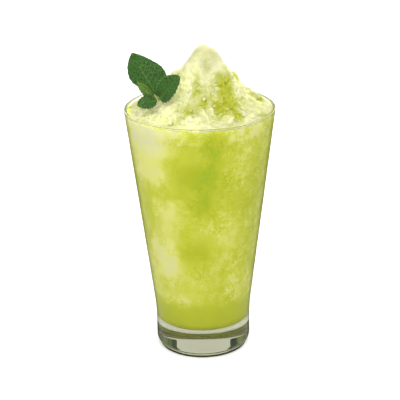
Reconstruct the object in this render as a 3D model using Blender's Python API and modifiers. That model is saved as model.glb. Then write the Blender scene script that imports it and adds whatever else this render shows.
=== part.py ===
"""A tall flared glass of melon slush with a heap of crushed ice and a sprig of mint.

Metres, +Z up. The origin is the centre of the glass's flat underside, and the front is -Y.
"""

import math
import random

import bmesh
import bpy
from mathutils import Euler, Vector, noise

# The glass
GLASS_HEIGHT = 0.149
RIM_RADIUS = 0.044
LIP_RADIUS = 0.0009
FOOT_RADIUS = 0.0282
FOOT_TOP = 0.023
FOOT_BLEND = 0.007
HEEL_INSET = 0.0050
HEEL_HEIGHT = 0.0054
FLOOR_TOP = 0.0165
FLOOR_CORNER = 0.0065
WALL_SLOPE = 0.1355
ROUND_STEPS = 60

# What fills it
TOUCH_GAP = 0.0003
DRINK_TOP = 0.1385

# The heap of crushed ice, with heights counted from the rim's plane
PEAK_X = 0.003
PEAK_Y = 0.002
# How high the heap stands at growing distances from its peak
SLOPE = (
    (0.0, 0.0366), (0.0025, 0.0357), (0.0055, 0.0333), (0.0085, 0.0297), (0.0125, 0.0238),
    (0.0155, 0.0194), (0.0215, 0.0132), (0.0300, 0.0066), (0.0400, 0.0006), (0.0500, -0.0052),
)
EDGE_RISE = -0.0018
EDGE_SLOPE = 1.15
HEAP_RINGS = 15
HEAP_STEPS = 40
RELIEF_DEPTH = 0.0007
RELIEF_SIZE = 0.0045
# Each swell or dent: centre x and y, rise at its middle, and how wide it spreads
SWELLS = (
    (0.0225, 0.005, 0.0032, 0.0045),
    (0.0320, 0.006, -0.0080, 0.0080),
    (-0.0080, 0.002, -0.0016, 0.0045),
    (-0.0170, 0.014, 0.0035, 0.0070),
    (-0.0260, -0.008, -0.0048, 0.0090),
    (-0.0160, -0.011, -0.0042, 0.0065),
    (0.0050, -0.024, 0.0012, 0.0070),
)
ICE_PIECES = 230
ICE_SEED = 11
ICE_LARGE = 0.0072
ICE_SMALL = 0.0030
ICE_FINE_ABOVE = 0.022
ICE_NONE_ABOVE = 0.030
ICE_SPACING = 0.58
LEAF_CLEARANCE = 0.0005

# The mint sprig, with places counted from the rim's plane
LEAF_THICKNESS = 0.0005
STEM_RADIUS = 0.00095
STEM_POINTS = (
    (-0.0200, -0.0012, -0.0070),
    (-0.0214, -0.0026, -0.0020),
    (-0.0228, -0.0042, 0.0030),
    (-0.0237, -0.0052, 0.0080),
)
# Each leaf: base, tip, the way its upper face looks, half width, fold, bend, tooth depth and grid size
LEAVES = {
    "mint_leaf_tall": dict(
        base=(-0.0240, -0.0038, 0.0076), tip=(-0.0383, 0.0030, 0.0319), face=(0.40, -1.0, 0.30),
        half_width=0.0102, fold=0.34, bend=-0.0016, teeth=0.00025, along=14, across=6,
    ),
    "mint_leaf_right": dict(
        base=(-0.0226, -0.0085, 0.0072), tip=(-0.0108, -0.0180, 0.0234), face=(-0.55, -1.0, 0.35),
        half_width=0.0061, fold=0.30, bend=0.0012, teeth=0.00035, along=12, across=6,
    ),
    "mint_leaf_young": dict(
        base=(-0.0252, -0.0082, 0.0073), tip=(-0.0352, -0.0085, 0.0183), face=(-0.55, -0.80, 0.10),
        half_width=0.0032, fold=0.55, bend=-0.0008, teeth=0.0002, along=10, across=4,
    ),
    "mint_leaf_low": dict(
        base=(-0.0242, -0.0100, 0.0068), tip=(-0.0356, -0.0135, 0.0055), face=(-0.10, -0.80, 0.60),
        half_width=0.0042, fold=0.20, bend=0.0010, teeth=0.00025, along=10, across=4,
    ),
}

COLOURS = {
    "clear_glass": ((0.90, 0.93, 0.90), 0.03, 1.0),
    "melon_slush": ((0.52, 0.55, 0.06), 0.35, 0.0),
    "crushed_ice": ((0.78, 0.79, 0.38), 0.30, 0.0),
    "mint_green": ((0.055, 0.135, 0.032), 0.45, 0.0),
    "young_mint": ((0.16, 0.30, 0.07), 0.45, 0.0),
    "mint_stem": ((0.35, 0.45, 0.16), 0.45, 0.0),
}


def clear_scene():
    for obj in list(bpy.data.objects):
        bpy.data.objects.remove(obj, do_unlink=True)


def make_material(name):
    colour, roughness, transmission = COLOURS[name]
    material = bpy.data.materials.new(name)
    material.use_nodes = True
    shader = material.node_tree.nodes["Principled BSDF"]
    shader.inputs["Base Color"].default_value = (*colour, 1.0)
    shader.inputs["Roughness"].default_value = roughness
    shader.inputs["Metallic"].default_value = 0.0
    shader.inputs["Transmission Weight"].default_value = transmission
    material.diffuse_color = (*colour, 1.0)
    return material


def mesh_object(name, bm, collection):
    mesh = bpy.data.meshes.new(name)
    bm.to_mesh(mesh)
    bm.free()
    obj = bpy.data.objects.new(name, mesh)
    collection.objects.link(obj)
    return obj


def evaluated_copy(obj):
    """The object's mesh with its modifiers applied, as new mesh data."""
    graph = bpy.context.evaluated_depsgraph_get()
    graph.update()
    return bpy.data.meshes.new_from_object(obj.evaluated_get(graph))


def bake_modifiers(obj):
    mesh = evaluated_copy(obj)
    obj.modifiers.clear()
    obj.data = mesh
    return obj


def turned(name, profile, steps, collection):
    """A solid turned about Z. The profile goes out from the axis, and down its outer side back to it."""
    bm = bmesh.new()
    verts = [bm.verts.new((radius, 0.0, height)) for radius, height in profile]
    for first, second in zip(verts, verts[1:]):
        bm.edges.new((first, second))
    obj = mesh_object(name, bm, collection)
    screw = obj.modifiers.new("Turn", "SCREW")
    screw.axis = "Z"
    screw.angle = 2 * math.pi
    screw.steps = steps
    screw.render_steps = steps
    screw.use_merge_vertices = True
    screw.merge_threshold = 0.00001
    screw.use_smooth_shade = True
    return obj


def arc(centre, radii, start, stop, count):
    """Points on an elliptical arc, with angles in degrees from the outward direction."""
    points = []
    for step in range(count + 1):
        angle = math.radians(start + (stop - start) * step / count)
        points.append((centre[0] + radii[0] * math.cos(angle), centre[1] + radii[1] * math.sin(angle)))
    return points


def inner_radius(height):
    """The radius of the glass's inner wall at this height."""
    return RIM_RADIUS - 2 * LIP_RADIUS - (GLASS_HEIGHT - LIP_RADIUS - height) * WALL_SLOPE


def cavity(gap, top):
    """The inside of the glass, less a gap all round, from the floor's centre out and up to a height."""
    lean = math.atan(WALL_SLOPE)
    centre_height = FLOOR_TOP + FLOOR_CORNER
    wall_foot = centre_height - FLOOR_CORNER * math.sin(lean)
    centre_radius = inner_radius(wall_foot) - FLOOR_CORNER * math.cos(lean)
    corner = FLOOR_CORNER - gap
    points = [(0.0, FLOOR_TOP + gap)]
    points += arc((centre_radius, centre_height), (corner, corner), -90, -math.degrees(lean), 5)
    points.append((inner_radius(top) - gap / math.cos(lean), top))
    return points


def make_glass(collection):
    lip_height = GLASS_HEIGHT - LIP_RADIUS
    profile = cavity(0.0, lip_height)
    lip = arc((RIM_RADIUS - LIP_RADIUS, lip_height), (LIP_RADIUS, LIP_RADIUS), 180, 0, 5)
    profile += lip[1:]
    flare = (RIM_RADIUS - FOOT_RADIUS) / (lip_height - FOOT_TOP)
    for step in range(5):
        share = step / 4
        height = FOOT_TOP + FOOT_BLEND * (1 - 2 * share)
        radius = FOOT_RADIUS + flare * FOOT_BLEND * (1 - share) ** 2
        profile.append((radius, height))
    heel_centre = (FOOT_RADIUS - HEEL_INSET, HEEL_HEIGHT)
    profile += arc(heel_centre, (HEEL_INSET, HEEL_HEIGHT), 0, -90, 4)
    profile.append((0.0, 0.0))
    glass = turned("glass", profile, ROUND_STEPS, collection)
    glass.data.materials.append(make_material("clear_glass"))
    return glass


def make_drink(collection):
    profile = list(reversed(cavity(TOUCH_GAP, DRINK_TOP)))
    profile.insert(0, (0.0, DRINK_TOP))
    drink = turned("slush_drink", profile, ROUND_STEPS, collection)
    drink.data.materials.append(make_material("melon_slush"))
    return drink


def slope_height(from_peak):
    """The heap's height above the rim's plane on its plain slope, this far from the peak."""
    for (near, high), (far, low) in zip(SLOPE, SLOPE[1:]):
        if from_peak <= far:
            return high + (low - high) * (from_peak - near) / (far - near)
    return SLOPE[-1][1]


def heap_rise(x, y):
    """How far the ice heap's core stands above the rim's plane over this spot."""
    from_peak = math.hypot(x - PEAK_X, y - PEAK_Y)
    rise = slope_height(from_peak)
    for centre_x, centre_y, height, spread in SWELLS:
        away = math.hypot(x - centre_x, y - centre_y) / spread
        rise += height * math.exp(-away * away)
    wall = inner_radius(GLASS_HEIGHT + EDGE_RISE)
    edge = EDGE_RISE + EDGE_SLOPE * (wall - math.hypot(x, y))
    rise = min(rise, edge)
    rise += RELIEF_DEPTH * noise.noise(Vector((x, y, 0.0)) / RELIEF_SIZE)
    return max(rise, EDGE_RISE)


def heap_normal(x, y):
    step = 0.0008
    slope_x = (heap_rise(x + step, y) - heap_rise(x - step, y)) / (2 * step)
    slope_y = (heap_rise(x, y + step) - heap_rise(x, y - step)) / (2 * step)
    return Vector((-slope_x, -slope_y, 1.0)).normalized()


def make_heap_core(collection):
    """A turned lid on the drink whose top rings are then lifted to the heap's height."""
    bottom = DRINK_TOP + TOUCH_GAP
    edge = GLASS_HEIGHT + EDGE_RISE
    edge_radius = inner_radius(edge) - TOUCH_GAP
    profile = [(edge_radius * ring / HEAP_RINGS, edge) for ring in range(HEAP_RINGS + 1)]
    profile += [(inner_radius(bottom) - TOUCH_GAP, bottom), (0.0, bottom)]
    core = bake_modifiers(turned("ice_heap", profile, HEAP_STEPS, collection))
    for vertex in core.data.vertices:
        if vertex.co.z > edge - TOUCH_GAP:
            inward = 1 - math.hypot(vertex.co.x, vertex.co.y) / edge_radius
            vertex.co.x += PEAK_X * inward
            vertex.co.y += PEAK_Y * inward
            if inward > 0.001:
                vertex.co.z = GLASS_HEIGHT + heap_rise(vertex.co.x, vertex.co.y)
    return core


def leaf_point(leaf, along, across):
    """A point of the leaf's middle surface: along is 0 at its base and 1 at its tip, across is -1 to 1."""
    base, tip = Vector(leaf["base"]), Vector(leaf["tip"])
    line = tip - base
    side = line.cross(Vector(leaf["face"])).normalized()
    up = side.cross(line).normalized()
    stalk = min(1.0, along / 0.10)
    swell = math.sin(math.pi * min(1.0, max(0.0, (along - 0.04) / 0.96)) ** 0.92)
    half = leaf["half_width"] * max(swell, 0.0) ** 0.80
    tooth = leaf["teeth"] * math.sin(2 * math.pi * 9 * along) * stalk * swell
    half = max(half + tooth, 0.0004)
    wave = 0.05 * half * math.sin(2 * math.pi * 2.5 * along) * across
    lift = leaf["fold"] * half * abs(across) ** 1.3
    bow = leaf["bend"] * 4 * along * (1 - along)
    return base + line * along + side * (half * across) + up * (lift + wave + bow)


def make_leaf(name, leaf, material, collection):
    bm = bmesh.new()
    bmesh.ops.create_grid(bm, x_segments=leaf["along"], y_segments=leaf["across"], size=1.0)
    for vertex in bm.verts:
        along, across = (vertex.co.x + 1) / 2, vertex.co.y
        vertex.co = leaf_point(leaf, along, across)
        vertex.co.z += GLASS_HEIGHT
    bmesh.ops.triangulate(bm, faces=bm.faces)
    obj = mesh_object(name, bm, collection)
    solid = obj.modifiers.new("Thickness", "SOLIDIFY")
    solid.thickness = LEAF_THICKNESS
    solid.offset = 0.0
    obj.data.shade_smooth()
    obj.data.materials.append(material)
    return obj


def make_stem(collection):
    """The stem runs down into the heap, which is cut round it."""
    stem = stem_tube("mint_stem", STEM_RADIUS, collection)
    stem.data.materials.append(make_material("mint_stem"))
    return stem


def stem_tube(name, radius, collection):
    curve = bpy.data.curves.new(name, "CURVE")
    curve.dimensions = "3D"
    curve.bevel_depth = radius
    curve.bevel_resolution = 2
    curve.use_fill_caps = True
    spline = curve.splines.new("POLY")
    spline.points.add(len(STEM_POINTS) - 1)
    for point, place in zip(spline.points, STEM_POINTS):
        point.co = (place[0], place[1], place[2] + GLASS_HEIGHT, 1.0)
    obj = bpy.data.objects.new(name, curve)
    collection.objects.link(obj)
    return obj


def garnish_points():
    """Points spread over the leaves and the stem, which the ice keeps clear of."""
    points = []
    for leaf in LEAVES.values():
        for along in range(25):
            for across in range(-6, 7):
                points.append(leaf_point(leaf, along / 24, across / 6))
    for first, second in zip(STEM_POINTS, STEM_POINTS[1:]):
        for step in range(6):
            points.append(Vector(first).lerp(Vector(second), step / 5))
    return points


def ice_places():
    """Centre, size and outward direction of each ice piece, the largest first and evenly apart."""
    draw = random.Random(ICE_SEED)
    keep_off = garnish_points()
    places = []
    wall = inner_radius(GLASS_HEIGHT + EDGE_RISE)
    for index in range(ICE_PIECES * 3):
        size = ICE_LARGE - (ICE_LARGE - ICE_SMALL) * min(1.0, index / (ICE_PIECES * 2)) ** 0.6
        for attempt in range(40):
            reach = wall * math.sqrt(draw.random())
            angle = draw.uniform(0, 2 * math.pi)
            x, y = reach * math.cos(angle), reach * math.sin(angle)
            rise = heap_rise(x, y)
            if rise > ICE_NONE_ABOVE or (rise > ICE_FINE_ABOVE and size > ICE_SMALL * 1.5):
                continue
            outward = heap_normal(x, y)
            centre = Vector((x, y, rise)) - outward * (0.05 * size)
            reach_out = 0.60 * size
            if math.hypot(centre.x, centre.y) + reach_out > wall - TOUCH_GAP * 3:
                continue
            if any((centre - other[0]).length < ICE_SPACING * (size + other[1]) for other in places):
                continue
            if any((centre - point).length < reach_out + LEAF_CLEARANCE for point in keep_off):
                continue
            places.append((centre, size, outward))
            break
        if len(places) == ICE_PIECES:
            break
    return places


def make_ice_piece(place, size, draw, collection):
    """A crushed piece of ice: a twenty-sided ball with its corners pushed in and out, then squashed and turned."""
    bm = bmesh.new()
    bmesh.ops.create_icosphere(bm, subdivisions=1, radius=size / 2)
    squash = Vector((1.05, draw.uniform(0.70, 1.0), draw.uniform(0.60, 0.90)))
    turn = Euler([draw.uniform(0, 2 * math.pi) for _ in range(3)])
    for vertex in bm.verts:
        vertex.co *= draw.uniform(0.80, 1.12)
        vertex.co = vertex.co * squash
        vertex.co.rotate(turn)
        vertex.co += place
        vertex.co.z += GLASS_HEIGHT
    return mesh_object("ice_piece", bm, collection)


def keep_largest_body(mesh):
    """Drops the loose scraps and the sealed hollows that the union leaves."""
    bm = bmesh.new()
    bm.from_mesh(mesh)
    unseen = set(bm.verts)
    bodies = []
    while unseen:
        start = unseen.pop()
        body, edge_of = {start}, [start]
        while edge_of:
            vertex = edge_of.pop()
            for link in vertex.link_edges:
                other = link.other_vert(vertex)
                if other in unseen:
                    unseen.remove(other)
                    body.add(other)
                    edge_of.append(other)
        bodies.append(body)
    bodies.sort(key=len, reverse=True)
    for body in bodies[1:]:
        bmesh.ops.delete(bm, geom=list(body), context="VERTS")
    bm.to_mesh(mesh)
    bm.free()


def make_ice_heap(collection):
    """The core with the ice pieces fused on, cut round the mint's stem."""
    core = make_heap_core(collection)
    pieces = bpy.data.collections.new("ice_pieces")
    bpy.context.scene.collection.children.link(pieces)
    draw = random.Random(ICE_SEED + 1)
    for place, size, _ in ice_places():
        make_ice_piece(place, size, draw, pieces)
    join = core.modifiers.new("Fuse", "BOOLEAN")
    join.operation = "UNION"
    join.operand_type = "COLLECTION"
    join.collection = pieces
    join.solver = "MANIFOLD"
    bake_modifiers(core)
    keep_largest_body(core.data)
    for piece in list(pieces.objects):
        bpy.data.objects.remove(piece, do_unlink=True)
    bpy.data.collections.remove(pieces)
    return core


def cut_stem_hole(heap, cutters):
    tube = stem_tube("stem_cutter_line", STEM_RADIUS + TOUCH_GAP, cutters)
    mesh = evaluated_copy(tube)
    bpy.data.objects.remove(tube, do_unlink=True)
    bm = bmesh.new()
    bm.from_mesh(mesh)
    bmesh.ops.remove_doubles(bm, verts=bm.verts, dist=0.00001)
    top = max(vertex.co.z for vertex in bm.verts)
    bottom = min(vertex.co.z for vertex in bm.verts)
    for vertex in bm.verts:
        vertex.co.z += TOUCH_GAP * (1 if vertex.co.z > (top + bottom) / 2 else -1)
    bmesh.ops.recalc_face_normals(bm, faces=bm.faces)
    cutter = mesh_object("stem_cutter", bm, cutters)
    cutter.hide_render = True
    cutter.display_type = "WIRE"
    cut = heap.modifiers.new("Stem hole", "BOOLEAN")
    cut.operation = "DIFFERENCE"
    cut.object = cutter
    cut.solver = "MANIFOLD"


def main():
    clear_scene()
    parts = bpy.data.collections.new("glass_of_melon_slush")
    cutters = bpy.data.collections.new("cutters")
    bpy.context.scene.collection.children.link(parts)
    bpy.context.scene.collection.children.link(cutters)
    make_glass(parts)
    make_drink(parts)
    heap = make_ice_heap(parts)
    heap.data.materials.append(make_material("crushed_ice"))
    cut_stem_hole(heap, cutters)
    mint, young = make_material("mint_green"), make_material("young_mint")
    for name, leaf in LEAVES.items():
        make_leaf(name, leaf, young if name == "mint_leaf_young" else mint, parts)
    make_stem(parts)


main()
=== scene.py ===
"""The glass of melon slush dressed for its picture: clear glass, grainy drink, ice and mint.

Metres, +Z up, the front is -Y. Every piece rides on the one body, so nothing here moves.
"""

import math
import random

import bmesh
import bpy
import numpy as np
from mathutils import Euler, Matrix, Vector, noise
from mathutils.kdtree import KDTree


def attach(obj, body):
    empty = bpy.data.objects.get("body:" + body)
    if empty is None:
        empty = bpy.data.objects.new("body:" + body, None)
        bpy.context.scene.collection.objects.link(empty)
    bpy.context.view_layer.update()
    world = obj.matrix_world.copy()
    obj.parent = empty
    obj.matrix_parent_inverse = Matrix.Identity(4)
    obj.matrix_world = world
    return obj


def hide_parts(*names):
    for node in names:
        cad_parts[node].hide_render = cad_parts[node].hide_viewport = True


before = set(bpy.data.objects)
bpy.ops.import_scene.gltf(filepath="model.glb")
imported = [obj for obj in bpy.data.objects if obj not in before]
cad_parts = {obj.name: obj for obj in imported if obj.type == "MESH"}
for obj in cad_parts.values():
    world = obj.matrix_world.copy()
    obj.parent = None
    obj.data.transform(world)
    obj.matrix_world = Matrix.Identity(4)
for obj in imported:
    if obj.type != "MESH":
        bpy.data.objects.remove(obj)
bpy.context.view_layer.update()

# Without a seed of its own, noise_vector would give every run another pattern
NOISE_SEED = 5

# The glass
GLASS_HEIGHT = 0.149
RIM_RADIUS = 0.044
LIP_RADIUS = 0.0009
FOOT_RADIUS = 0.0282
FOOT_TOP = 0.023
FOOT_BLEND = 0.007
HEEL_INSET = 0.0050
HEEL_HEIGHT = 0.0054
FLOOR_TOP = 0.0165
FLOOR_CORNER = 0.0065
WALL_SLOPE = 0.1355
ROUND_STEPS = 240
GLASS_REFRACTION = 1.6
GLASS_TINT = (0.80, 0.805, 0.72, 1.0)
GLASS_ABSORPTION = 68.0

# What fills it, reaching just into the glass so that no air shows between them
WALL_REACH = 0.00015
DRINK_TOP = 0.1385
DRINK_ROWS = 150
SLUSH_FOOT = 0.0345
LIQUID_PALENESS = 0.12
# Painted light on the drink's low back corner, which lies in shade and shows through the base
BACK_CORNER_PAINTED_LIGHT = 0.75

# The heap of crushed ice, with heights counted from the rim's plane
PEAK_X = 0.003
PEAK_Y = 0.002
SLOPE = (
    (0.0, 0.0366), (0.0025, 0.0359), (0.0055, 0.0338), (0.0085, 0.0304), (0.0125, 0.0245),
    (0.0155, 0.0199), (0.0215, 0.0132), (0.0300, 0.0066), (0.0400, 0.0006), (0.0500, -0.0052),
)
EDGE_RISE = -0.0018
EDGE_SLOPE = 1.15
RELIEF_DEPTH = 0.0007
RELIEF_SIZE = 0.0045
SWELLS = (
    (0.0222, 0.004, 0.0042, 0.0038),
    (0.0320, 0.006, -0.0080, 0.0080),
    (-0.0080, 0.002, -0.0016, 0.0045),
    (-0.0170, 0.014, 0.0035, 0.0070),
    (-0.0260, -0.008, -0.0048, 0.0090),
    (-0.0160, -0.011, -0.0042, 0.0065),
    (0.0050, -0.024, 0.0012, 0.0070),
)
HEAP_RINGS = 190
HEAP_STEPS = 340
CLUMP_RISE = 0.0042
CLUMP_RISE_AT_PEAK = 0.0009
SPOT_FALL = 1.1

# The mint sprig, with places counted from the rim's plane
LEAF_THICKNESS = 0.00035
LEAF_ROWS = 120
LEAF_COLUMNS = 60
LEAF_TEETH = 9
LEAF_WAVES = 2.5
SIDE_VEINS = 8.5
RIB_WIDTH = 0.00038
SIDE_VEIN_WIDTH = 0.00026
SKIN_DOME = 0.00040
SKIN_CRINKLE = 0.00012
STEM_RADIUS = 0.0007
STEM_POINTS = (
    (-0.0200, -0.0012, -0.0070),
    (-0.0214, -0.0026, -0.0020),
    (-0.0228, -0.0042, 0.0030),
    (-0.0237, -0.0052, 0.0080),
)
LEAVES = {
    "mint_leaf_tall": dict(
        base=(-0.0240, -0.0038, 0.0076), tip=(-0.0383, 0.0030, 0.0319), face=(0.40, -1.0, 0.30),
        half_width=0.0102, fold=0.34, bend=-0.0016, teeth=0.00012, skew=-0.30, lopsided=0.07,
    ),
    "mint_leaf_right": dict(
        base=(-0.0226, -0.0085, 0.0072), tip=(-0.0108, -0.0180, 0.0234), face=(-0.55, -1.0, 0.35),
        half_width=0.0063, fold=0.42, bend=0.0012, teeth=0.0005, pale_edge=-1.0, fullness=0.50,
    ),
    "mint_leaf_young": dict(
        base=(-0.0252, -0.0082, 0.0073), tip=(-0.0352, -0.0085, 0.0183), face=(-0.55, -0.80, 0.10),
        half_width=0.0032, fold=0.55, bend=-0.0008, teeth=0.0002,
    ),
    "mint_leaf_low": dict(
        base=(-0.0242, -0.0100, 0.0068), tip=(-0.0356, -0.0135, 0.0055), face=(-0.10, -0.80, 0.60),
        half_width=0.0042, fold=0.20, bend=0.0010, teeth=0.0006, fullness=0.62,
    ),
}

# Soft clouds in the drink behind the front wall:
# x, z, reach across, reach up, and how pale (+) or deep (-)
DRINK_CLOUDS = (
    (-0.0303, 0.1351, 0.0105, 0.0113, 1.00), (-0.0280, 0.1188, 0.0086, 0.0082, 0.80),
    (-0.0226, 0.1059, 0.0086, 0.0031, -0.40), (-0.0288, 0.0961, 0.0029, 0.0062, -0.40),
    (-0.0180, 0.0957, 0.0086, 0.0093, 0.75), (-0.0199, 0.0614, 0.0076, 0.0195, 1.00),
    (-0.0285, 0.0764, 0.0029, 0.0103, -0.30), (0.0054, 0.1403, 0.0105, 0.0113, -0.66),
    (-0.0005, 0.1176, 0.0143, 0.0113, -0.62), (0.0030, 0.1215, 0.0070, 0.0050, -0.32),
    (-0.0007, 0.1017, 0.0095, 0.0082, -0.55), (-0.0041, 0.0711, 0.0114, 0.0093, -0.80),
    (0.0242, 0.1424, 0.0086, 0.0062, 0.70), (0.0242, 0.1288, 0.0076, 0.0062, 0.20),
    (0.0363, 0.1211, 0.0024, 0.0062, -0.50), (0.0203, 0.1139, 0.0105, 0.0082, 0.05),
    (0.0262, 0.0997, 0.0057, 0.0051, -0.30), (0.0144, 0.0782, 0.0057, 0.0062, 0.15),
    (0.0180, 0.1010, 0.0100, 0.0100, -0.25), (0.0243, 0.0510, 0.0038, 0.0062, 0.10),
    (0.0044, 0.0518, 0.0143, 0.0082, 0.15), (-0.0145, 0.0364, 0.0095, 0.0041, 0.55),
)

# Where syrup gathers on the heap's front (+) and clean ice lies (-): x, y, reach across,
# reach back, and how much
HEAP_POOLS = (
    (0.0159, -0.0062, 0.0035, 0.0100, 0.80), (0.0134, -0.0139, 0.0045, 0.0050, 1.00),
    (0.0160, -0.0205, 0.0060, 0.0050, 1.00), (0.0109, -0.0242, 0.0038, 0.0050, 0.90),
    (0.0028, -0.0242, 0.0028, 0.0050, 0.80), (-0.0019, -0.0148, 0.0033, 0.0045, 0.70),
    (-0.0071, -0.0273, 0.0038, 0.0040, 0.70), (-0.0015, -0.0272, 0.0032, 0.0040, 0.50),
    (0.0209, -0.0272, 0.0027, 0.0060, 0.80), (0.0124, -0.0301, 0.0033, 0.0045, 0.70),
    (0.0000, -0.0085, 0.0046, 0.0040, 0.25),
    (-0.0064, -0.0151, 0.0028, 0.0070, -0.80), (-0.0044, -0.0349, 0.0045, 0.0060, -0.90),
    (0.0033, -0.0110, 0.0032, 0.0040, -0.60), (0.0210, -0.0062, 0.0030, 0.0060, -0.40),
)

# Spots of painted light on the heap, the strongest where the leaf's shadow falls: x, y, reach
# across, reach back, and how much
PAINTED_LIGHT_SPOTS = (
    (-0.0120, -0.0110, 0.0070, 0.0070, 1.00), (-0.0230, -0.0270, 0.0080, 0.0050, 0.60),
    (-0.0050, -0.0370, 0.0100, 0.0040, 0.30), (-0.0290, -0.0140, 0.0060, 0.0060, 0.40),
    (0.0235, 0.0050, 0.0045, 0.0060, 0.55), (0.0340, 0.0020, 0.0050, 0.0080, 0.45),
)

# Colours, as linear light
CLEAN_ICE = (0.98, 0.975, 0.58, 1.0)
PALE_SLUSH = (0.97, 0.98, 0.31, 1.0)
MIDDLE_SLUSH = (0.76, 0.80, 0.060, 1.0)
DEEP_SLUSH = (0.62, 0.68, 0.006, 1.0)
GREEN_SLUSH = (0.46, 0.64, 0.012, 1.0)
ICE_WHITE = (0.40, 0.40, 0.185, 1.0)
ICE_PALE = (0.59, 0.585, 0.35, 1.0)
ICE_MIDDLE = (0.45, 0.46, 0.175, 1.0)
ICE_DEEP = (0.33, 0.35, 0.025, 1.0)
# The colour of the painted light on the ice
PAINTED_LIGHT_ICE = (0.92, 0.92, 0.46, 1.0)
LEAF_GREEN = (0.017, 0.089, 0.006, 1.0)
LEAF_DARK = (0.008, 0.040, 0.004, 1.0)
LEAF_VEIN = (0.105, 0.225, 0.036, 1.0)
YOUNG_GREEN = (0.064, 0.155, 0.010, 1.0)
YOUNG_DARK = (0.030, 0.090, 0.006, 1.0)
YOUNG_VEIN = (0.260, 0.400, 0.080, 1.0)
STEM_PALE = (0.27, 0.40, 0.10, 1.0)
STEM_STREAK = (0.22, 0.33, 0.09, 1.0)
FLOOR_PALE = (0.93, 0.93, 0.92, 1.0)
FOOT_SHADE_DARK = (0.06, 0.065, 0.04, 1.0)
FLAG_DARK = (0.01, 0.02, 0.003, 1.0)
FLAG_GREEN = (0.18, 0.25, 0.05, 1.0)
ROOM_GREY = (0.72, 0.72, 0.72, 1.0)
ROOM_PALE = (0.82, 0.82, 0.82, 1.0)

# How the drink's grain changes its paleness, each from where it is absent to where it is full
DRINK_GRAIN = (
    ("Clots", -0.20, 0.20), ("Crystals", -0.12, 0.12),
    ("Specks", 0.0, 0.26), ("Cracks", 0.0, -0.36),
)
# The colours that follow green as slush grows paler: where each starts and where it is full
PALER_STEPS = (("Deep", -0.30, 0.0), ("Middle", 0.0, 0.4), ("Pale", 0.4, 0.8), ("Ice", 0.8, 1.2))
SEAM_SWING = 0.0100

# The studio
FLOOR_REACH = 6.0
FLOOR_LEVEL = -0.0003
FOOT_SHADE_RADIUS = 0.0262
FOOT_SHADE_LEVEL = -0.0001
FOOT_SHADE_CORNERS = 72
WORLD_STRENGTH = 1.42

# The dark screens behind the glass: angles in degrees from straight behind, distance and heights
FLAG_FROM = 26.0
FLAG_TO = 88.0
FLAG_LEAN = 5
FLAG_STEPS = 12
FLAG_AWAY = 0.32
FLAG_BOTTOM = 0.09
FLAG_TOP = 0.19

# The fitted viewpoint, with its angles in radians
CAMERA_PLACE = (0.0, -0.7972, 0.3983)
CAMERA_PITCH = 0.3680
CAMERA_YAW = -0.0009
CAMERA_ROLL = -0.0167
CAMERA_LENS = 129.41


# Shader nodes

def feed(tree, node, inputs):
    """Gives a node's inputs their values, or joins them to other nodes' sockets."""
    for key, value in inputs.items():
        if isinstance(value, bpy.types.NodeSocket):
            tree.links.new(value, node.inputs[key])
        else:
            node.inputs[key].default_value = value
    return node


def add_node(tree, kind, inputs=None, **settings):
    made = tree.nodes.new(kind)
    for name, value in settings.items():
        setattr(made, name, value)
    return feed(tree, made, inputs or {})


def new_effect(name, inputs, outputs):
    """A node group for an effect that several materials share."""
    tree = bpy.data.node_groups.new(name, "ShaderNodeTree")
    for label, kind, value in inputs:
        socket = tree.interface.new_socket(label, in_out="INPUT", socket_type=kind)
        socket.default_value = value
    for label, kind in outputs:
        tree.interface.new_socket(label, in_out="OUTPUT", socket_type=kind)
    return tree, tree.nodes.new("NodeGroupInput"), tree.nodes.new("NodeGroupOutput")


def use_effect(tree, effect, inputs):
    return add_node(tree, "ShaderNodeGroup", inputs, node_tree=effect)


def new_material(name):
    material = bpy.data.materials.new(name)
    material.use_nodes = True
    tree = material.node_tree
    return material, tree, tree.nodes["Principled BSDF"]


def mapped(tree, value, from_low, from_high, to_low=0.0, to_high=1.0):
    """The value moved from one range to another and held within it."""
    return add_node(tree, "ShaderNodeMapRange", {
        "Value": value, "From Min": from_low, "From Max": from_high,
        "To Min": to_low, "To Max": to_high,
    }).outputs["Result"]


def blended(tree, share, first, second):
    """A colour between the first, at share 0, and the second, at share 1."""
    inputs = {0: share, 6: first, 7: second}
    return add_node(tree, "ShaderNodeMix", inputs, data_type="RGBA", blend_type="MIX").outputs[2]


def worked(tree, how, first, second):
    return add_node(tree, "ShaderNodeMath", {0: first, 1: second}, operation=how).outputs[0]


def soft_noise(tree, place, scale, detail, roughness=0.5):
    return add_node(tree, "ShaderNodeTexNoise", {
        "Vector": place, "Scale": scale, "Detail": detail, "Roughness": roughness,
    })


def cells(tree, place, scale, feature="F1"):
    inputs = {"Vector": place, "Scale": scale}
    return add_node(tree, "ShaderNodeTexVoronoi", inputs, feature=feature)


def object_place(tree):
    return add_node(tree, "ShaderNodeTexCoord").outputs["Object"]


def kept_value(tree, name):
    """A number that the mesh keeps for each of its points."""
    return add_node(tree, "ShaderNodeAttribute", attribute_name=name).outputs["Fac"]


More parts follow.
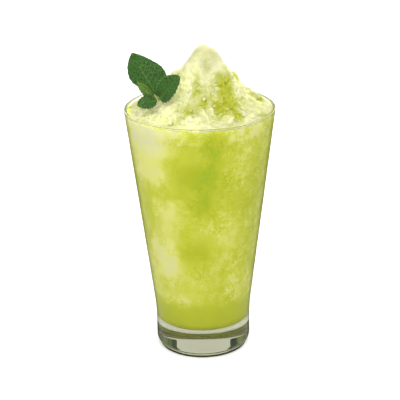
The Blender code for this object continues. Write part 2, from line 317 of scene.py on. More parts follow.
def ice_grain_effect():
    """Fine frozen grain: soft clots, small crystals, sparse bright specks and patches of seams."""
    tree, given, out = new_effect(
        "ice_grain",
        [("Size", "NodeSocketFloat", 1.0)],
        [(name, "NodeSocketFloat") for name in ("Clots", "Crystals", "Specks", "Cracks", "Height")],
    )
    scaling = {0: object_place(tree), "Scale": given.outputs["Size"]}
    scaled = add_node(tree, "ShaderNodeVectorMath", scaling, operation="SCALE").outputs[0]
    clots = mapped(tree, soft_noise(tree, scaled, 230.0, 3.0, 0.55).outputs["Fac"], 0.34, 0.66)
    crystals = mapped(tree, soft_noise(tree, scaled, 900.0, 2.0, 0.6).outputs["Fac"], 0.36, 0.66)
    grains = cells(tree, scaled, 430.0)
    lot = add_node(tree, "ShaderNodeSeparateColor", {"Color": grains.outputs["Color"]})
    near = mapped(tree, grains.outputs["Distance"], 0.44, 0.16)
    specks = worked(tree, "MULTIPLY", near, mapped(tree, lot.outputs["Red"], 0.50, 0.75))
    swinging = {0: soft_noise(tree, scaled, 260.0, 3.0).outputs["Color"], "Scale": SEAM_SWING}
    swing = add_node(tree, "ShaderNodeVectorMath", swinging, operation="SCALE")
    bending = {0: scaled, 1: swing.outputs[0]}
    bent = add_node(tree, "ShaderNodeVectorMath", bending, operation="ADD").outputs[0]
    seams = cells(tree, bent, 210.0, "DISTANCE_TO_EDGE")
    lines = mapped(tree, seams.outputs["Distance"], 0.12, 0.02)
    where = mapped(tree, soft_noise(tree, scaled, 75.0, 2.0).outputs["Fac"], 0.50, 0.62)
    feed(tree, out, {
        "Clots": clots, "Crystals": crystals, "Specks": specks,
        "Cracks": worked(tree, "MULTIPLY", lines, where),
        "Height": worked(tree, "ADD", crystals, specks),
    })
    return tree


def slush_colour_effect():
    """The slush's colour, from green melt and deep syrup through the common shade to pale ice."""
    tree, given, out = new_effect(
        "slush_colour",
        [("Paleness", "NodeSocketFloat", 0.5), ("Green", "NodeSocketColor", GREEN_SLUSH),
         ("Deep", "NodeSocketColor", DEEP_SLUSH), ("Middle", "NodeSocketColor", MIDDLE_SLUSH),
         ("Pale", "NodeSocketColor", PALE_SLUSH), ("Ice", "NodeSocketColor", CLEAN_ICE)],
        [("Color", "NodeSocketColor")],
    )
    colour = given.outputs["Green"]
    for name, start, full in PALER_STEPS:
        share = mapped(tree, given.outputs["Paleness"], start, full)
        colour = blended(tree, share, colour, given.outputs[name])
    feed(tree, out, {"Color": colour})
    return tree


def clear_glass_material():
    material, tree, shader = new_material("clear_glass")
    feed(tree, shader, {
        "Base Color": (1.0, 1.0, 0.995, 1.0), "Roughness": 0.0, "IOR": GLASS_REFRACTION,
        "Transmission Weight": 1.0,
    })
    body = add_node(tree, "ShaderNodeVolumeAbsorption", {
        "Color": GLASS_TINT, "Density": GLASS_ABSORPTION,
    })
    feed(tree, tree.nodes["Material Output"], {"Volume": body.outputs["Volume"]})
    return material


def drink_material(grain, colours):
    """Cloudy slush seen through the wall, calm near the floor, from where the ice has risen."""
    material, tree, shader = new_material("melon_slush")
    texture = use_effect(tree, grain, {"Size": 1.0})
    paleness = kept_value(tree, "cloud")
    ice = kept_value(tree, "iciness")
    for name, absent, full in DRINK_GRAIN:
        change = mapped(tree, texture.outputs[name], 0.0, 1.0, absent, full)
        paleness = worked(tree, "ADD", paleness, worked(tree, "MULTIPLY", change, ice))
    colour = use_effect(tree, colours, {"Paleness": paleness})
    feed(tree, shader, {
        "Base Color": colour.outputs["Color"], "Roughness": 0.6, "Specular IOR Level": 0.0,
        "Subsurface Weight": 0.35, "Subsurface Radius": (1.0, 1.0, 0.35),
        "Subsurface Scale": 0.004,
    })
    return material


def crushed_ice_material(grain, colours, name, tone_depth):
    """Wet crushed ice, greener where syrup gathers; tone_depth is how much its pieces differ."""
    material, tree, shader = new_material(name)
    texture = use_effect(tree, grain, {"Size": 1.4})
    toned = mapped(tree, kept_value(tree, "tone"), 0.0, 1.0, -tone_depth, tone_depth)
    crystals = mapped(tree, texture.outputs["Crystals"], 0.0, 1.0, -0.07, 0.07)
    paleness = worked(tree, "ADD", kept_value(tree, "cloud"), toned)
    colour = use_effect(tree, colours, {
        "Paleness": worked(tree, "ADD", paleness, crystals), "Green": ICE_DEEP,
        "Deep": ICE_DEEP, "Middle": ICE_MIDDLE, "Pale": ICE_PALE, "Ice": ICE_WHITE,
    })
    # Painted light: the ice colour is mixed towards a bright colour where the spots of painted
    # light lie
    with_painted_light = blended(tree, kept_value(tree, "painted_light"), colour.outputs["Color"], PAINTED_LIGHT_ICE)
    bump = add_node(tree, "ShaderNodeBump", {
        "Height": texture.outputs["Height"], "Strength": 0.25, "Distance": 0.0002,
    })
    feed(tree, shader, {
        "Base Color": with_painted_light, "Normal": bump.outputs["Normal"],
        "Roughness": mapped(tree, texture.outputs["Clots"], 0.0, 1.0, 0.35, 0.60),
        "IOR": 1.31, "Specular IOR Level": 0.25, "Subsurface Weight": 1.0,
        "Subsurface Radius": (1.0, 1.0, 0.4), "Subsurface Scale": 0.0032,
    })
    return material


def mint_effect():
    """A mint leaf's skin: mottled green between a net of fine veins, with paler main veins."""
    tree, given, out = new_effect(
        "mint_skin",
        [("Vein", "NodeSocketFloat", 0.0), ("Green", "NodeSocketColor", LEAF_GREEN),
         ("Dark", "NodeSocketColor", LEAF_DARK), ("Pale", "NodeSocketColor", LEAF_VEIN)],
        [("Color", "NodeSocketColor"), ("Height", "NodeSocketFloat"),
         ("Roughness", "NodeSocketFloat")],
    )
    place = object_place(tree)
    pale = given.outputs["Pale"]
    from_vein = cells(tree, place, 820.0, "DISTANCE_TO_EDGE").outputs["Distance"]
    mottle = soft_noise(tree, place, 900.0, 2.0).outputs["Fac"]
    mottled = blended(
        tree, mapped(tree, mottle, 0.42, 0.60), given.outputs["Dark"], given.outputs["Green"])
    net = worked(tree, "MULTIPLY", mapped(tree, from_vein, 0.17, 0.0), 0.42)
    netted = blended(tree, net, mottled, pale)
    feed(tree, out, {
        "Color": blended(tree, given.outputs["Vein"], netted, pale),
        "Height": mapped(tree, from_vein, 0.0, 0.3),
        "Roughness": mapped(tree, mottle, 0.3, 0.7, 0.38, 0.55),
    })
    return tree


def leaf_material(name, skin_effect, green, dark, pale):
    material, tree, shader = new_material(name)
    skin = use_effect(tree, skin_effect, {
        "Vein": kept_value(tree, "vein"), "Green": green, "Dark": dark, "Pale": pale,
    })
    bump = add_node(tree, "ShaderNodeBump", {
        "Height": skin.outputs["Height"], "Strength": 0.8, "Distance": 0.00030,
    })
    feed(tree, shader, {
        "Base Color": skin.outputs["Color"], "Roughness": skin.outputs["Roughness"],
        "Normal": bump.outputs["Normal"], "Specular IOR Level": 0.24,
        "Sheen Weight": 0.02, "Sheen Roughness": 0.4,
    })
    return material


def stem_material():
    material, tree, shader = new_material("mint_stem")
    streaks = soft_noise(tree, object_place(tree), 700.0, 2.0).outputs["Fac"]
    colour = blended(tree, mapped(tree, streaks, 0.35, 0.65), STEM_STREAK, STEM_PALE)
    feed(tree, shader, {"Base Color": colour, "Roughness": 0.45})
    return material


# Shapes

def seat(obj, material):
    """Gives a piece its material and lets it ride on the body."""
    obj.data.materials.clear()
    obj.data.materials.append(material)
    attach(obj, "root")
    return obj


def add_object(name, data):
    obj = bpy.data.objects.new(name, data)
    bpy.context.scene.collection.objects.link(obj)
    return obj


def link_mesh(name, verts, faces, sharp_over=180.0):
    mesh = bpy.data.meshes.new(name)
    mesh.from_pydata(verts, [], faces)
    mesh.validate()
    mesh.shade_smooth()
    mesh.set_sharp_from_angle(angle=math.radians(sharp_over))
    return add_object(name, mesh)


def set_values(obj, name, values):
    """Keeps one number for each point of the mesh, for its material to read."""
    layer = obj.data.attributes.new(name, "FLOAT", "POINT")
    layer.data.foreach_set("value", np.asarray(values, dtype=np.float32))


def turned(name, profile, steps):
    """A closed solid turned about Z from a profile that starts and ends on the axis."""
    rings = profile[1:-1]
    verts = [(0.0, 0.0, profile[0][1]), (0.0, 0.0, profile[-1][1])]
    for radius, height in rings:
        for step in range(steps):
            angle = 2 * math.pi * step / steps
            verts.append((radius * math.cos(angle), radius * math.sin(angle), height))
    faces = []
    for step in range(steps):
        after = (step + 1) % steps
        faces.append((0, 2 + step, 2 + after))
        for ring in range(len(rings) - 1):
            near, far = 2 + ring * steps, 2 + (ring + 1) * steps
            faces.append((near + step, far + step, far + after, near + after))
        last = 2 + (len(rings) - 1) * steps
        faces.append((last + after, last + step, 1))
    obj = link_mesh(name, verts, faces, sharp_over=50.0)
    turn_outward(obj)
    return obj


def turn_outward(obj):
    bm = bmesh.new()
    bm.from_mesh(obj.data)
    bmesh.ops.recalc_face_normals(bm, faces=bm.faces)
    bm.to_mesh(obj.data)
    bm.free()


def arc(centre, radii, start, stop, count):
    points = []
    for step in range(count + 1):
        angle = math.radians(start + (stop - start) * step / count)
        across, up = radii[0] * math.cos(angle), radii[1] * math.sin(angle)
        points.append((centre[0] + across, centre[1] + up))
    return points


def inner_radius(height):
    return RIM_RADIUS - 2 * LIP_RADIUS - (GLASS_HEIGHT - LIP_RADIUS - height) * WALL_SLOPE


def cavity(reach, heights):
    """The inside of the glass, pushed out by a small reach, from the floor's centre up the wall."""
    lean = math.atan(WALL_SLOPE)
    centre_height = FLOOR_TOP + FLOOR_CORNER
    wall_foot = centre_height - FLOOR_CORNER * math.sin(lean)
    centre_radius = inner_radius(wall_foot) - FLOOR_CORNER * math.cos(lean)
    corner = FLOOR_CORNER + reach
    floor = [(centre_radius * step / 12, FLOOR_TOP - reach) for step in range(12)]
    points = floor
    points += arc((centre_radius, centre_height), (corner, corner), -90, -math.degrees(lean), 16)
    points += [(inner_radius(height) + reach / math.cos(lean), height) for height in heights]
    return points


def make_glass(material):
    lip_height = GLASS_HEIGHT - LIP_RADIUS
    profile = cavity(0.0, [0.04, 0.08, 0.12, lip_height])
    profile += arc((RIM_RADIUS - LIP_RADIUS, lip_height), (LIP_RADIUS, LIP_RADIUS), 180, 0, 14)[1:]
    flare = (RIM_RADIUS - FOOT_RADIUS) / (lip_height - FOOT_TOP)
    for height in (0.12, 0.08, 0.045):
        profile.append((RIM_RADIUS - flare * (lip_height - height), height))
    for step in range(13):
        share = step / 12
        height = FOOT_TOP + FOOT_BLEND * (1 - 2 * share)
        profile.append((FOOT_RADIUS + flare * FOOT_BLEND * (1 - share) ** 2, height))
    profile += arc((FOOT_RADIUS - HEEL_INSET, HEEL_HEIGHT), (HEEL_INSET, HEEL_HEIGHT), 0, -90, 14)
    profile += [((FOOT_RADIUS - HEEL_INSET) * share, 0.0) for share in (0.75, 0.5, 0.25, 0.0)]
    glass = turned("glass_piece", profile, ROUND_STEPS)
    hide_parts("glass")
    return seat(glass, material)


def held(value, low=0.0, high=1.0):
    """The value, kept between low and high."""
    return min(high, max(low, value))


def spots_at(x, y, spots):
    """What soft spots add up to here, each full at its middle and fading beyond its reach."""
    total = 0.0
    for middle_x, middle_y, reach_x, reach_y, amount in spots:
        across, up = (x - middle_x) / reach_x, (y - middle_y) / reach_y
        total += amount * math.exp(-SPOT_FALL * (across * across + up * up))
    return total


def drink_cloud(point):
    """How pale the drink is here: clouds all round, the main ones set behind the front wall."""
    wander = noise.noise_vector(point / 0.012) * 0.0040 + noise.noise_vector(point / 0.005) * 0.0016
    wander += noise.noise_vector(point / 0.0021) * 0.0009
    moved = point + wander
    drift = noise.fractal(Vector((point.x, point.y, point.z * 0.7)) / 0.020, 0.9, 2.0, 3)
    front = held(0.35 - point.y / 0.020)
    placed = held(0.62 * spots_at(moved.x, moved.z, DRINK_CLOUDS), -0.64, 0.56)
    near_top = held((point.z - 0.128) / 0.016)
    leftward = held(0.45 - point.x / 0.035, 0.20)
    pale = 0.42 + 0.27 * drift
    pale += front * placed - 0.10 * front * drift
    pale += 0.26 * near_top * leftward
    return pale + 0.05 * noise.noise(point / 0.0035)


def slushy_share(point):
    """0 in the clear liquid just above the floor and 1 up in the slush, with a wavy edge."""
    edge = SLUSH_FOOT + 0.0030 * noise.noise(point / 0.008)
    return held((point.z - edge) / 0.006 + 0.5)


def drink_iciness(point):
    """How much grain shows: patchy up in the slush, none in the clear liquid."""
    patchy = held(0.70 + 0.9 * noise.noise(point / 0.013) + point.x / 0.080, 0.25)
    return patchy * slushy_share(point)


def make_drink(material):
    foot = 0.024
    heights = [foot + (DRINK_TOP - foot) * row / DRINK_ROWS for row in range(1, DRINK_ROWS + 1)]
    profile = cavity(WALL_REACH, heights)
    profile.append((0.0, DRINK_TOP))
    drink = turned("melon_slush_piece", profile, ROUND_STEPS)
    clouds, ice = [], []
    for vertex in drink.data.vertices:
        slushy = slushy_share(vertex.co)
        # The clear liquid's own paleness, plus painted light on its low back corner where it lies
        # in shade
        behind = held((vertex.co.y + 0.004) / 0.020)
        low = held(1.5 - (vertex.co.z - FLOOR_TOP) / 0.0045)
        liquid_and_painted_light = LIQUID_PALENESS + BACK_CORNER_PAINTED_LIGHT * behind * low
        clouds.append(drink_cloud(vertex.co) * slushy + liquid_and_painted_light * (1 - slushy))
        ice.append(drink_iciness(vertex.co))
    set_values(drink, "cloud", clouds)
    set_values(drink, "iciness", ice)
    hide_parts("slush_drink")
    return seat(drink, material)


def slope_height(from_peak):
    for (near, high), (far, low) in zip(SLOPE, SLOPE[1:]):
        if from_peak <= far:
            return high + (low - high) * (from_peak - near) / (far - near)
    return SLOPE[-1][1]


def heap_rise(x, y):
    rise = slope_height(math.hypot(x - PEAK_X, y - PEAK_Y))
    for centre_x, centre_y, height, spread in SWELLS:
        away = math.hypot(x - centre_x, y - centre_y) / spread
        if away < 3:
            rise += height * math.exp(-away * away)
    wall = inner_radius(GLASS_HEIGHT + EDGE_RISE)
    rise = min(rise, EDGE_RISE + EDGE_SLOPE * (wall - math.hypot(x, y)))
    rise += RELIEF_DEPTH * noise.noise(Vector((x, y, 0.0)) / RELIEF_SIZE)
    return max(rise, EDGE_RISE)


def clump(place, size, seed):
    """A field of rounded clumps pressed together: 1 on a clump's crown, 0 in the clefts between."""
    away, centres = noise.voronoi(place / size + Vector((seed, 0.0, 0.0)))
    crown = max(0.0, 1.0 - (away[0] / 0.72) ** 2)
    cleft = min(1.0, (away[1] - away[0]) / 0.28)
    return crown * cleft * (0.55 + 0.45 * noise.cell(centres[0] * 7.3 + Vector((0.5, 0.5, 0.5))))


def chips(place, size, seed):
    """A field of flat tilted chips: how high the surface is, and the shade of the chip here."""
    spot = place / size + Vector((seed, 0.0, 0.0))
    away, centres = noise.voronoi(spot)
    tilt = noise.cell_vector(centres[0] * 5.7) - Vector((0.5, 0.5, 0.5))
    high = held(0.5 + 1.5 * (spot - centres[0]).dot(tilt))
    seam = min(1.0, (away[1] - away[0]) / 0.20)
    return 0.30 + (high - 0.30) * seam, noise.cell(centres[0] * 9.1)


def broken_ice(place):
    """How high the packed ice stands here and how pale its chip is, as shares of 1."""
    moved = place + noise.noise_vector(place / 0.0045) * 0.0012
    chip_high, chip_pale = chips(moved, 0.0044, 11.0)
    fine_high, fine_pale = chips(moved, 0.0023, 23.0)
    high = 0.40 * clump(moved, 0.0085, 3.0) + 0.38 * chip_high + 0.22 * fine_high
    return high, 0.6 * chip_pale + 0.4 * fine_pale


def heap_normal(x, y):
    step = 0.0008
    slope_x = (heap_rise(x + step, y) - heap_rise(x - step, y)) / (2 * step)
    slope_y = (heap_rise(x, y + step) - heap_rise(x, y - step)) / (2 * step)
    return Vector((-slope_x, -slope_y, 1.0)).normalized()


def heap_paleness(point):
    """How pale the ice is here: snowy at the peak, with pools of syrup lower down."""
    moved = point + noise.noise_vector(point / 0.006) * 0.0016
    snowy = held((point.z - GLASS_HEIGHT - 0.020) / 0.008)
    front = held(-point.y / 0.004)
    pools = spots_at(moved.x, moved.y, HEAP_POOLS)
    common = max(0.0, noise.noise(point / 0.0065 + Vector((7.0, 3.0, 1.0))) - 0.12) * 1.6
    pale = 0.74 + 0.16 * noise.noise(point / 0.007) + 0.10 * noise.noise(point / 0.0028)
    pale += snowy * 0.36
    pale -= 0.62 * held(front * pools, -0.4)
    pale -= (1.0 - 0.7 * front) * (1.0 - snowy) * common
    return pale


def painted_light_on_ice(point):
    """How much painted light lies on the heap here, from 0 to nearly 1."""
    return min(0.9, spots_at(point.x, point.y, PAINTED_LIGHT_SPOTS))


def lift_ice(place, wall):
    """Moves a point of the flat top up onto the broken ice, and returns its paleness there."""
    inward = 1 - math.hypot(place.x, place.y) / wall
    place.x += PEAK_X * inward
    place.y += PEAK_Y * inward
    tone = 0.0
    if inward > 0.001:
        place.z = GLASS_HEIGHT + heap_rise(place.x, place.y)
        smooth = held((place.z - GLASS_HEIGHT - 0.017) / 0.008)
        high, pale_chip = broken_ice(place)
        rise = CLUMP_RISE * (1 - smooth) + CLUMP_RISE_AT_PEAK * smooth
        place += heap_normal(place.x, place.y) * (rise * (high - 0.45) * min(1.0, inward * 9))
        tone = (0.60 - 0.45 * smooth) * (high - 0.42) + (0.22 - 0.12 * smooth) * (pale_chip - 0.5)
    return heap_paleness(place) + tone - 0.03


def side_paleness(place, edge):
    """How pale the heap's hidden side is against the wall, palest at its top and to the left."""
    near_top = held(1 - (edge - place.z) / 0.0050)
    leftward = held(0.45 - place.x / 0.030, 0.35)
    return drink_cloud(place) + 0.02 + 0.38 * near_top * leftward


def make_heap_core(material, side_material):
    """The packed ice under the loose pieces, from its peak to the wall and down to the drink."""
    edge = GLASS_HEIGHT + EDGE_RISE
    wall = inner_radius(edge) + WALL_REACH
    bottom = DRINK_TOP - 0.0004
    drops = (0.0, 0.0012, 0.0025, 0.0040, 0.0055, edge - bottom)
    side = [(inner_radius(edge - drop) + WALL_REACH - 0.00002, edge - drop) for drop in drops]
    top = [(wall * ring / HEAP_RINGS, edge) for ring in range(HEAP_RINGS + 1)]
    core = turned("ice_heap_core", top + side + [(0.0, bottom)], HEAP_STEPS)
    clouds = []
    for index, vertex in enumerate(core.data.vertices):
        in_top = index != 1 and index < 2 + HEAP_RINGS * HEAP_STEPS
        if in_top and vertex.co.z > edge - 0.0001:
            clouds.append(lift_ice(vertex.co, wall))
        else:
            clouds.append(side_paleness(vertex.co, edge))
    set_values(core, "cloud", clouds)
    set_values(core, "tone", [0.5] * len(clouds))
    # How much painted light each point of the packed ice gets
    set_values(core, "painted_light", [painted_light_on_ice(vertex.co) for vertex in core.data.vertices])
    set_values(core, "iciness", [1.0] * len(clouds))
    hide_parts("ice_heap")
    seat(core, material)
    core.data.materials.append(side_material)
    for face in core.data.polygons:
        outward = math.hypot(face.center.x, face.center.y)
        if face.center.z < edge + 0.00001 and outward > wall - 0.002:
            face.material_index = 1
    return core


def cut_ball(subdivisions, cuts, draw):
    """A ball cut flat by random planes, as a crushed piece of ice breaks."""
    bm = bmesh.new()
    bmesh.ops.create_icosphere(bm, subdivisions=subdivisions, radius=1.0)
    points = np.array([vertex.co[:] for vertex in bm.verts])
    faces = np.array([[vertex.index for vertex in face.verts] for face in bm.faces])
    bm.free()
    for _ in range(cuts):
        facing = np.array([draw.gauss(0, 1) for _ in range(3)])
        facing /= np.linalg.norm(facing)
        depth = draw.uniform(0.25, 0.75)
        over = points @ facing
        points *= np.where(over > depth, depth / np.maximum(over, 1e-6), 1.0)[:, None]
    return points, faces


def garnish_tree():
    """A search tree of points over the leaves and stem, which loose ice keeps clear of."""
    points = []
    for leaf in LEAVES.values():
        for along in range(33):
            for across in range(-8, 9):
                points.append(leaf_point(leaf, along / 32, across / 8))
    for first, second in zip(STEM_POINTS, STEM_POINTS[1:]):
        for step in range(8):
            points.append(Vector(first).lerp(Vector(second), step / 7))
    tree = KDTree(len(points))
    for index, point in enumerate(points):
        tree.insert(point + Vector((0, 0, GLASS_HEIGHT)), index)
    tree.balance()
    return tree


def crowded(placed, cell, centre, spacing):
    """Whether a piece lies closer than the spacing, in this cell or in those next to it."""
    steps = (-1, 0, 1)
    around = ((cell[0] + i, cell[1] + j, cell[2] + k) for i in steps for j in steps for k in steps)
    return any(near in placed and (placed[near] - centre).length < spacing for near in around)


def scatter_ice(name, count, sizes, stand, shapes, spacing, seed, material, keep_off, allowed):
    """Loose ice over the heap as one mesh: each piece a turned, squashed copy of a shape."""
    draw = random.Random(seed)
    wall = inner_radius(GLASS_HEIGHT + EDGE_RISE)
    verts, faces, clouds, tones, painted_lights = [], [], [], [], []
    cells_used, start = {}, 0
    for _ in range(count * 6):
        if len(verts) == count:
            break
        reach = wall * math.sqrt(draw.random())
        angle = draw.uniform(0, 2 * math.pi)
        x, y = reach * math.cos(angle), reach * math.sin(angle)
        size = sizes[0] + (sizes[1] - sizes[0]) * draw.random() ** 1.6
        if draw.random() > allowed(heap_rise(x, y)):
            continue
        outward = heap_normal(x, y)
        if draw.random() > 0.35 + 0.65 / max(outward.z, 0.3) / 2:
            continue
        surface = Vector((x, y, GLASS_HEIGHT + heap_rise(x, y)))
        centre = surface + outward * (size * draw.uniform(*stand))
        if math.hypot(centre.x, centre.y) + size * 0.55 > wall:
            continue
        if keep_off.find(centre)[2] < size * 0.62 + 0.0004:
            continue
        cell = tuple(int(math.floor(value / spacing)) for value in centre)
        if crowded(cells_used, cell, centre, spacing):
            continue
        cells_used[cell] = centre
        points, shape_faces = shapes[draw.randrange(len(shapes))]
        squash = np.array([1.0, draw.uniform(0.7, 1.0), draw.uniform(0.5, 0.85)]) * size / 2
        turn = np.array(Euler([draw.uniform(0, 2 * math.pi) for _ in range(3)]).to_matrix())
        verts.append((points * squash) @ turn.T + np.array(centre))
        faces.append(shape_faces + start)
        out_from = (verts[-1] - np.array(centre)) @ np.array(outward) / size
        clouds.append(heap_paleness(centre) + 0.12 * out_from + 0.02)
        # The painted light at each loose piece
        painted_lights.append(np.full(len(points), painted_light_on_ice(centre)))
        tones.append(np.full(len(points), draw.random()))
        start += len(points)
    mesh_verts, mesh_faces = np.concatenate(verts), np.concatenate(faces)
    obj = link_mesh(name, mesh_verts.tolist(), mesh_faces.tolist(), sharp_over=32.0)
    set_values(obj, "cloud", np.concatenate(clouds))
    set_values(obj, "tone", np.concatenate(tones))
    set_values(obj, "painted_light", np.concatenate(painted_lights))
    return seat(obj, material)


def make_loose_ice(material, rough_material):
    """Chunks, crumbs and snow; the larger pieces keep mostly off the smooth peak."""
    draw = random.Random(5)
    chunks = [cut_ball(3, 9, draw) for _ in range(8)]
    crumbs = [cut_ball(2, 7, draw) for _ in range(8)]
    snow = [cut_ball(1, 3, draw) for _ in range(6)]
    keep_off = garnish_tree()
    scatter_ice("ice_chunks", 40, (0.0030, 0.0056), (-0.34, -0.20), chunks, 0.0034, 21,
                rough_material, keep_off,
                lambda rise: 1.0 if rise < 0.020 else (0.15 if rise < 0.026 else 0.0))
    scatter_ice("ice_crumbs", 160, (0.0012, 0.0026), (-0.36, -0.16), crumbs, 0.0013, 22,
                rough_material, keep_off, lambda rise: 1.0 if rise < 0.020 else 0.10)
    scatter_ice("ice_snow", 1800, (0.0004, 0.0008), (-0.20, 0.15), snow, 0.0005, 23,
                material, keep_off, lambda rise: 1.0)


def leaf_frame(leaf):
    """The leaf's base, its line from base to tip, and the ways to its side and out of its face."""
    base = Vector(leaf["base"])
    line = Vector(leaf["tip"]) - base
    side = line.cross(Vector(leaf["face"])).normalized()
    return base, line, side, side.cross(line).normalized()


def leaf_point(leaf, along, across):
    """A point of the middle surface: along is 0 at the base and 1 at the tip, across -1 to 1."""
    base, line, side, up = leaf_frame(leaf)
    stalk = min(1.0, along / 0.10)
    lean = 0.92 + leaf.get("skew", 0.0) * across
    swell = math.sin(math.pi * held((along - 0.04) / 0.96) ** lean)
    half = leaf["half_width"] * max(swell, 0.0) ** leaf.get("fullness", 0.80)
    half *= 1 + leaf.get("lopsided", 0.0) * across
    tooth = leaf["teeth"] * math.sin(2 * math.pi * LEAF_TEETH * along) * stalk * swell
    half = max(half + tooth, 0.0004)
    wave = 0.05 * half * math.sin(2 * math.pi * LEAF_WAVES * along) * across
    lift = leaf["fold"] * half * abs(across) ** 1.3
    bow = leaf["bend"] * 4 * along * (1 - along)
    return base + line * along + side * (half * across) + up * (lift + wave + bow)


def leaf_vein(leaf, along, across):
    """The main veins, 1 on a vein and 0 between: a midrib, side veins and, on some, a pale edge."""
    width = leaf["half_width"] * max(math.sin(math.pi * min(1.0, along)), 0.05) ** 0.8
    from_rib = abs(across) * width
    rib = math.exp(-(from_rib / (RIB_WIDTH * (1.15 - 0.7 * along))) ** 2)
    turn = (along - 0.30 * abs(across) ** 1.2 + 0.03) * SIDE_VEINS
    nearest = abs(turn - round(turn)) / SIDE_VEINS * leaf_frame(leaf)[1].length
    side = math.exp(-(nearest / SIDE_VEIN_WIDTH) ** 2)
    side *= (1 - abs(across)) ** 0.4 * (1 - abs(across) ** 4)
    edge = held((across * leaf.get("pale_edge", 0.0) - 0.86) / 0.10) * (1 - along) ** 0.5
    return max(rib, 0.55 * side, 0.75 * edge)


def make_leaf(name, leaf, material):
    """A thin leaf whose skin domes up between its veins."""
    up = leaf_frame(leaf)[3]
    verts, veins, faces = [], [], []
    for row in range(LEAF_ROWS + 1):
        for column in range(LEAF_COLUMNS + 1):
            along, across = row / LEAF_ROWS, 2 * column / LEAF_COLUMNS - 1
            vein = leaf_vein(leaf, along, across)
            place = leaf_point(leaf, along, across)
            dome = SKIN_DOME * (1 - vein) * min(1.0, 6 * along * (1 - along)) * (1 - across ** 4)
            crinkle = SKIN_CRINKLE * noise.noise(place / 0.0014)
            verts.append(place + up * (dome + crinkle) + Vector((0, 0, GLASS_HEIGHT)))
            veins.append(vein)
    for row in range(LEAF_ROWS):
        for column in range(LEAF_COLUMNS):
            first = row * (LEAF_COLUMNS + 1) + column
            above = first + LEAF_COLUMNS + 1
            faces.append((first, first + 1, above + 1, above))
    leaf_piece = link_mesh(name + "_piece", verts, faces)
    set_values(leaf_piece, "vein", veins)
    solid = leaf_piece.modifiers.new("Thickness", "SOLIDIFY")
    solid.thickness = LEAF_THICKNESS
    solid.offset = 0.0
    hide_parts(name)
    return seat(leaf_piece, material)


def make_stem(material):
    curve = bpy.data.curves.new("mint_stem_piece", "CURVE")
    curve.dimensions = "3D"
    curve.bevel_depth = STEM_RADIUS
    curve.bevel_resolution = 5
    curve.resolution_u = 10
    curve.use_fill_caps = True
    spline = curve.splines.new("BEZIER")
    spline.bezier_points.add(len(STEM_POINTS) - 1)
    for point, place in zip(spline.bezier_points, STEM_POINTS):
        point.co = (place[0], place[1], place[2] + GLASS_HEIGHT)
        point.handle_left_type = point.handle_right_type = "AUTO"
    stem = add_object("mint_stem_piece", curve)
    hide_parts("mint_stem")
    return seat(stem, material)


# The studio

def studio_piece(name, verts, faces, inputs):
    """A plain mesh of the studio, with these values on its shader."""
    mesh = bpy.data.meshes.new(name)
    mesh.from_pydata(verts, [], faces)
    material, tree, shader = new_material(name)
    feed(tree, shader, inputs)
    mesh.materials.append(material)
    return add_object(name, mesh), tree, shader


def make_floor():
    corners = ((-1, -1), (1, -1), (1, 1), (-1, 1))
    verts = [(x * FLOOR_REACH, y * FLOOR_REACH, FLOOR_LEVEL) for x, y in corners]
    floor, _, _ = studio_piece("studio_floor", verts, [(0, 1, 2, 3)], {
        "Base Color": FLOOR_PALE, "Roughness": 0.9, "Specular IOR Level": 0.1,
    })
    floor.visible_glossy = False


def make_foot_shade():
    """A dark disc under the glass as a painted contact shadow, which shows as a line along its
    lower edge.
    """
    turns = [2 * math.pi * step / FOOT_SHADE_CORNERS for step in range(FOOT_SHADE_CORNERS)]
    rim = [(FOOT_SHADE_RADIUS * math.cos(turn), FOOT_SHADE_RADIUS * math.sin(turn),
            FOOT_SHADE_LEVEL) for turn in turns]
    shade, _, _ = studio_piece("foot_shade", rim, [tuple(range(FOOT_SHADE_CORNERS))], {
        "Base Color": FOOT_SHADE_DARK, "Roughness": 0.9,
    })


def make_flag(name, side):
    """A dark curved screen behind the glass on one side, seen only through its base and edges."""
    verts, faces = [], []
    for step in range(FLAG_STEPS + 1):
        edges = ((FLAG_BOTTOM, FLAG_FROM - FLAG_LEAN), (FLAG_TOP, FLAG_FROM + FLAG_LEAN))
        for height, start in edges:
            angle = side * math.radians(start + (FLAG_TO - start) * step / FLAG_STEPS)
            verts.append((FLAG_AWAY * math.sin(angle), FLAG_AWAY * math.cos(angle), height))
        if step:
            faces.append((2 * step - 2, 2 * step, 2 * step + 1, 2 * step - 1))
    card, tree, shader = studio_piece(name, verts, faces, {"Roughness": 0.9})
    patches = soft_noise(tree, object_place(tree), 16.0, 3.0).outputs["Fac"]
    greens = blended(tree, mapped(tree, patches, 0.40, 0.60), FLAG_DARK, FLAG_GREEN)
    feed(tree, shader, {"Base Color": greens})
    card.visible_camera = False
    card.visible_shadow = False
    card.visible_glossy = False
    card.visible_diffuse = False


def make_light(name, place, aim, size, power, seen_in_glass):
    lamp = bpy.data.lights.new(name, "AREA")
    lamp.shape = "RECTANGLE"
    lamp.size, lamp.size_y = size
    lamp.energy = power
    light = add_object(name, lamp)
    light.location = place
    light.rotation_euler = (Vector(aim) - Vector(place)).to_track_quat("-Z", "Y").to_euler()
    light.visible_glossy = seen_in_glass
    light.visible_transmission = seen_in_glass


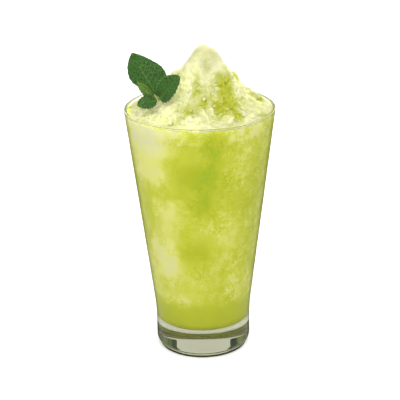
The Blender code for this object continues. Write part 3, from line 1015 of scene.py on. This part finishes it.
def make_room():
    """Even pale light, a little brighter from above, and dark low down behind the glass."""
    world = bpy.data.worlds.new("studio_world")
    world.use_nodes = True
    tree = world.node_tree
    way = add_node(tree, "ShaderNodeSeparateXYZ", {
        "Vector": add_node(tree, "ShaderNodeTexCoord").outputs["Generated"],
    }).outputs
    behind = mapped(tree, way["Y"], -0.6, 0.3)
    above = mapped(tree, way["Z"], 0.25, 0.75)
    room = blended(tree, worked(tree, "MAXIMUM", behind, above), ROOM_GREY, ROOM_PALE)
    dim = mapped(tree, way["Y"], 0.66, 0.86, 0.36, 0.02)
    low = add_node(tree, "ShaderNodeCombineColor", {"Red": dim, "Green": dim, "Blue": dim})
    colour = blended(tree, mapped(tree, way["Z"], -0.05, 0.05), low.outputs["Color"], room)
    feed(tree, tree.nodes["Background"], {"Color": colour, "Strength": WORLD_STRENGTH})
    bpy.context.scene.world = world


def make_studio():
    make_room()
    make_floor()
    make_light("key_softbox", (-0.14, -0.74, 0.88), (0, 0, 0.10), (1.3, 1.3), 10.5, True)
    make_light("back_softbox", (0.35, 0.75, 0.55), (0, 0, 0.12), (0.8, 0.6), 5.0, False)
    make_foot_shade()
    make_flag("flag_left", -1)
    make_flag("flag_right", 1)


def make_camera():
    """The fitted viewpoint: a long lens a little above the rim, turned very slightly."""
    lens = bpy.data.cameras.new("photo_camera")
    lens.sensor_width = 36.0
    lens.lens = CAMERA_LENS
    lens.clip_start = 0.01
    camera = add_object("photo_camera", lens)
    turn = Matrix.Rotation(-CAMERA_YAW, 4, "Z")
    turn = turn @ Matrix.Rotation(math.pi / 2 - CAMERA_PITCH, 4, "X")
    turn = turn @ Matrix.Rotation(CAMERA_ROLL, 4, "Z")
    camera.matrix_world = Matrix.Translation(CAMERA_PLACE) @ turn
    bpy.context.scene.camera = camera


def set_tones():
    view = bpy.context.scene.view_settings
    view.view_transform = "Standard"
    view.look = "None"
    view.exposure = 0.0
    view.gamma = 1.0


def main():
    noise.seed_set(NOISE_SEED)
    make_camera()
    set_tones()
    make_studio()
    grain = ice_grain_effect()
    colours = slush_colour_effect()
    make_glass(clear_glass_material())
    slush = drink_material(grain, colours)
    make_drink(slush)
    packed_ice = crushed_ice_material(grain, colours, "packed_ice", 0.0)
    loose_ice = crushed_ice_material(grain, colours, "crushed_ice", 0.10)
    snow_ice = crushed_ice_material(grain, colours, "snow_ice", 0.06)
    make_heap_core(packed_ice, slush)
    make_loose_ice(snow_ice, loose_ice)
    skin = mint_effect()
    green = leaf_material("mint_green", skin, LEAF_GREEN, LEAF_DARK, LEAF_VEIN)
    young = leaf_material("young_mint", skin, YOUNG_GREEN, YOUNG_DARK, YOUNG_VEIN)
    for name, leaf in LEAVES.items():
        if name == "mint_leaf_young":
            make_leaf(name, leaf, young)
        else:
            make_leaf(name, leaf, green)
    make_stem(stem_material())


main()
